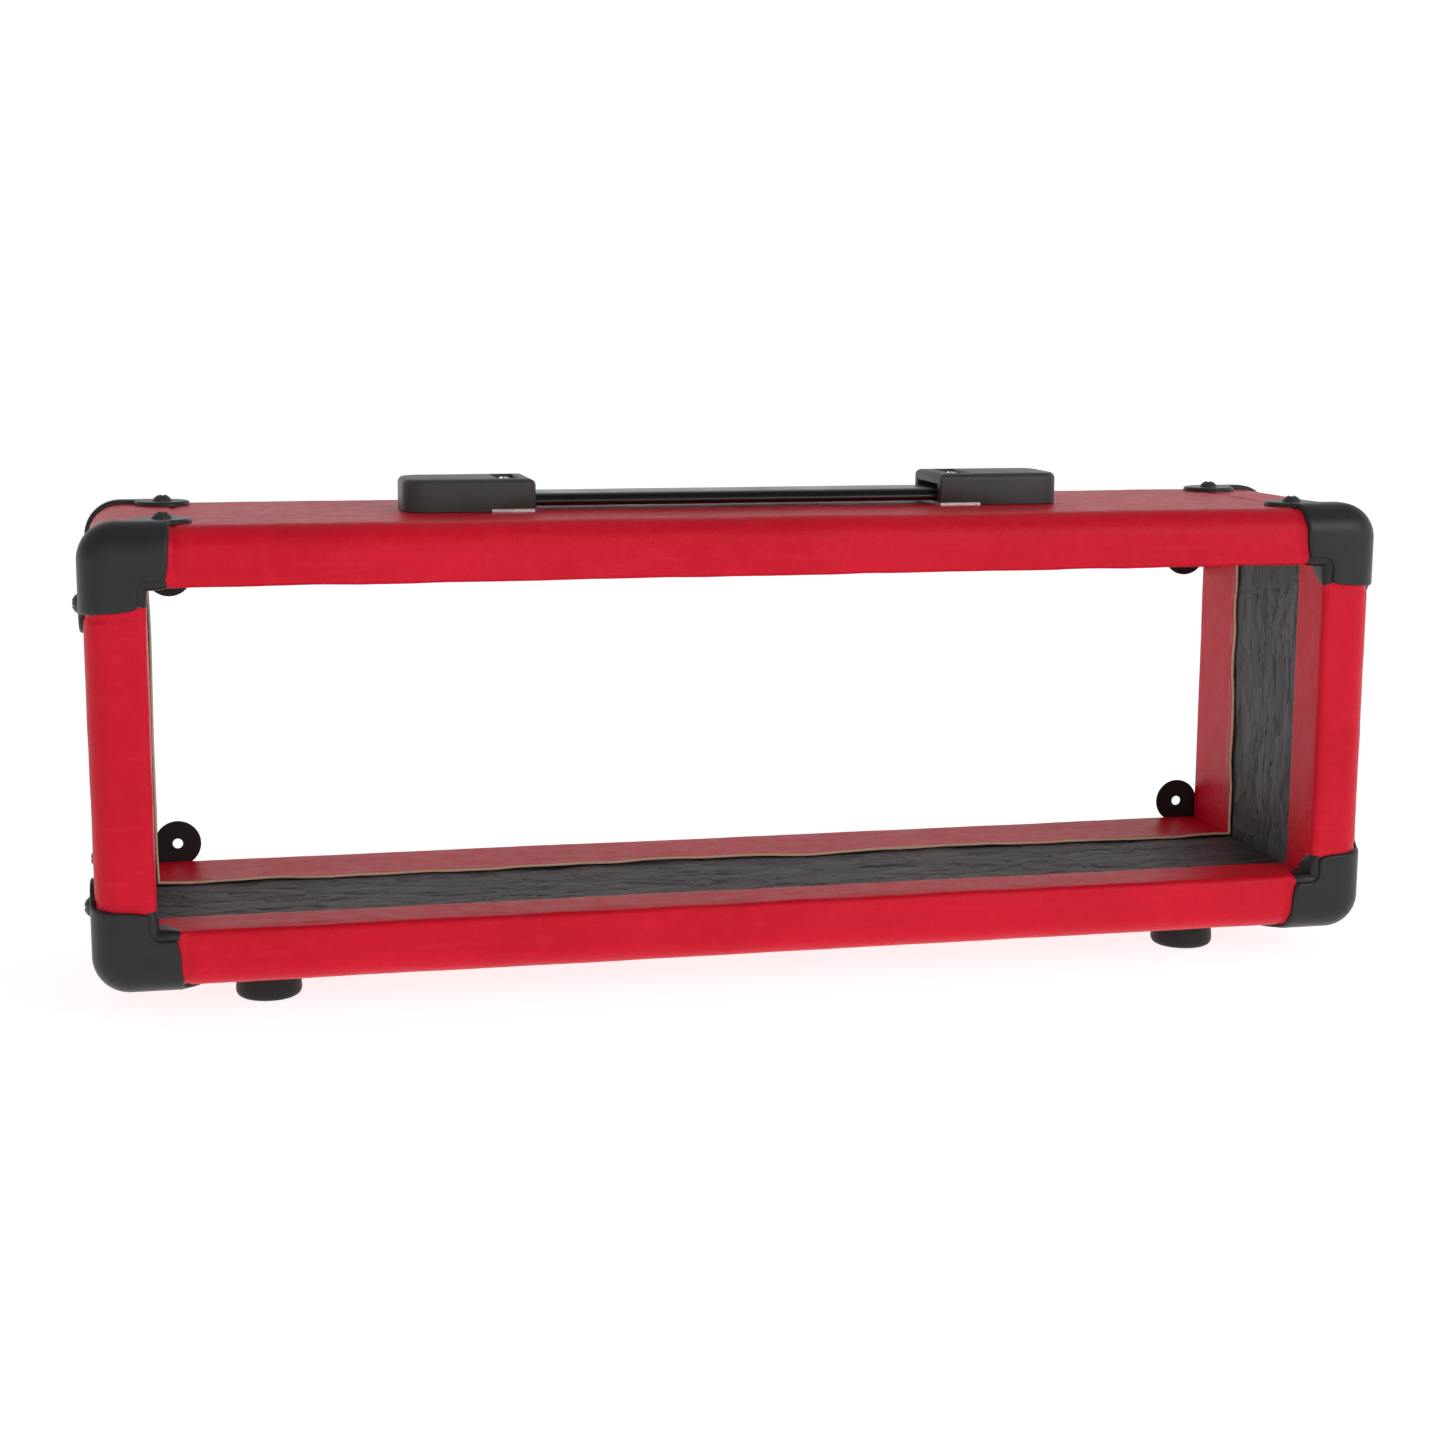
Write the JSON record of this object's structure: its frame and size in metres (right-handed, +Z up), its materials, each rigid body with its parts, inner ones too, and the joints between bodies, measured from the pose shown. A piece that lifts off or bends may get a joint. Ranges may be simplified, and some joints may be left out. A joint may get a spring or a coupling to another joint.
{
  "type": "open pedal frame",
  "caption": "Open-front and open-back board frame for effects gear, vinyl-covered, with plastic corner protectors, rubber feet and a flexible strap handle on top.",
  "frame": {"origin": "under the middle of the frame, on the surface that the feet stand on", "axes": "+X to the right along the width, +Y from the front opening to the rear opening, +Z up"},
  "size_m": [0.5388, 0.1306, 0.2072],
  "materials": {
    "red_vinyl": "satin grained vinyl",
    "painted_board": "matt black paint over strand grain",
    "corner_plastic": "satin moulded",
    "cap_plastic": "satin moulded",
    "strap_rubber": "satin moulded",
    "foot_rubber": "matt",
    "black_screw": "semi-gloss black",
    "zinc_steel": "zinc plated"
  },
  "bodies": {
    "frame": {"top_board": "painted_board", "bottom_board": "painted_board", "left_board": "painted_board", "right_board": "painted_board", "joint_screws": "zinc_steel", "vinyl_cover": "red_vinyl", "corner_front_top_left": "corner_plastic", "corner_front_top_right": "corner_plastic", "corner_front_bottom_left": "corner_plastic", "corner_front_bottom_right": "corner_plastic", "corner_rear_top_left": "corner_plastic", "corner_rear_top_right": "corner_plastic", "corner_rear_bottom_left": "corner_plastic", "corner_rear_bottom_right": "corner_plastic", "corner_screws_top": "black_screw", "corner_screws_bottom": "black_screw", "corner_screws_left": "black_screw", "corner_screws_right": "black_screw", "handle_cap_left": "cap_plastic", "handle_cap_right": "cap_plastic", "handle_base_left": "zinc_steel", "handle_base_right": "zinc_steel", "handle_screw_left": "zinc_steel", "handle_screw_right": "zinc_steel", "foot_front_left": "foot_rubber", "foot_front_right": "foot_rubber", "foot_rear_left": "foot_rubber", "foot_rear_right": "foot_rubber", "foot_washers": "zinc_steel", "foot_screws": "zinc_steel"},
    "grip": {"strap_grip": "strap_rubber"},
    "flex_left": {"strap_flex_left": "strap_rubber"},
    "flex_right": {"strap_flex_right": "strap_rubber"},
    "tongue_left": {"strap_tongue_left": "strap_rubber"},
    "tongue_right": {"strap_tongue_right": "strap_rubber"}
  },
  "joints": [
    {"name": "strap_lift", "type": "slide", "parent": "frame", "child": "grip", "axis": [0, 0, 1], "range_m": [0, 0.019], "stiffness_N_per_m": 800},
    {"name": "flex_left_bend", "type": "hinge", "parent": "grip", "child": "flex_left", "pos_m": [-0.026, 0, 0.19825], "axis": [0, 1, 0], "range_deg": [-20.2, 0]},
    {"name": "flex_right_bend", "type": "hinge", "parent": "grip", "child": "flex_right", "pos_m": [0.026, 0, 0.19825], "axis": [0, 1, 0], "range_deg": [0, 20.2]},
    {"name": "tongue_left_level", "type": "hinge", "parent": "flex_left", "child": "tongue_left", "pos_m": [-0.08, 0, 0.19825], "axis": [0, 1, 0], "range_deg": [0, 20.2]},
    {"name": "tongue_right_level", "type": "hinge", "parent": "flex_right", "child": "tongue_right", "pos_m": [0.08, 0, 0.19825], "axis": [0, 1, 0], "range_deg": [-20.2, 0]}
  ],
  "couplings": [
    {"joint": "flex_left_bend", "follows": "strap_lift", "rad_per_m": -18.518},
    {"joint": "flex_right_bend", "follows": "strap_lift", "rad_per_m": 18.518},
    {"joint": "tongue_left_level", "follows": "strap_lift", "rad_per_m": 18.518},
    {"joint": "tongue_right_level", "follows": "strap_lift", "rad_per_m": -18.518}
  ]
}
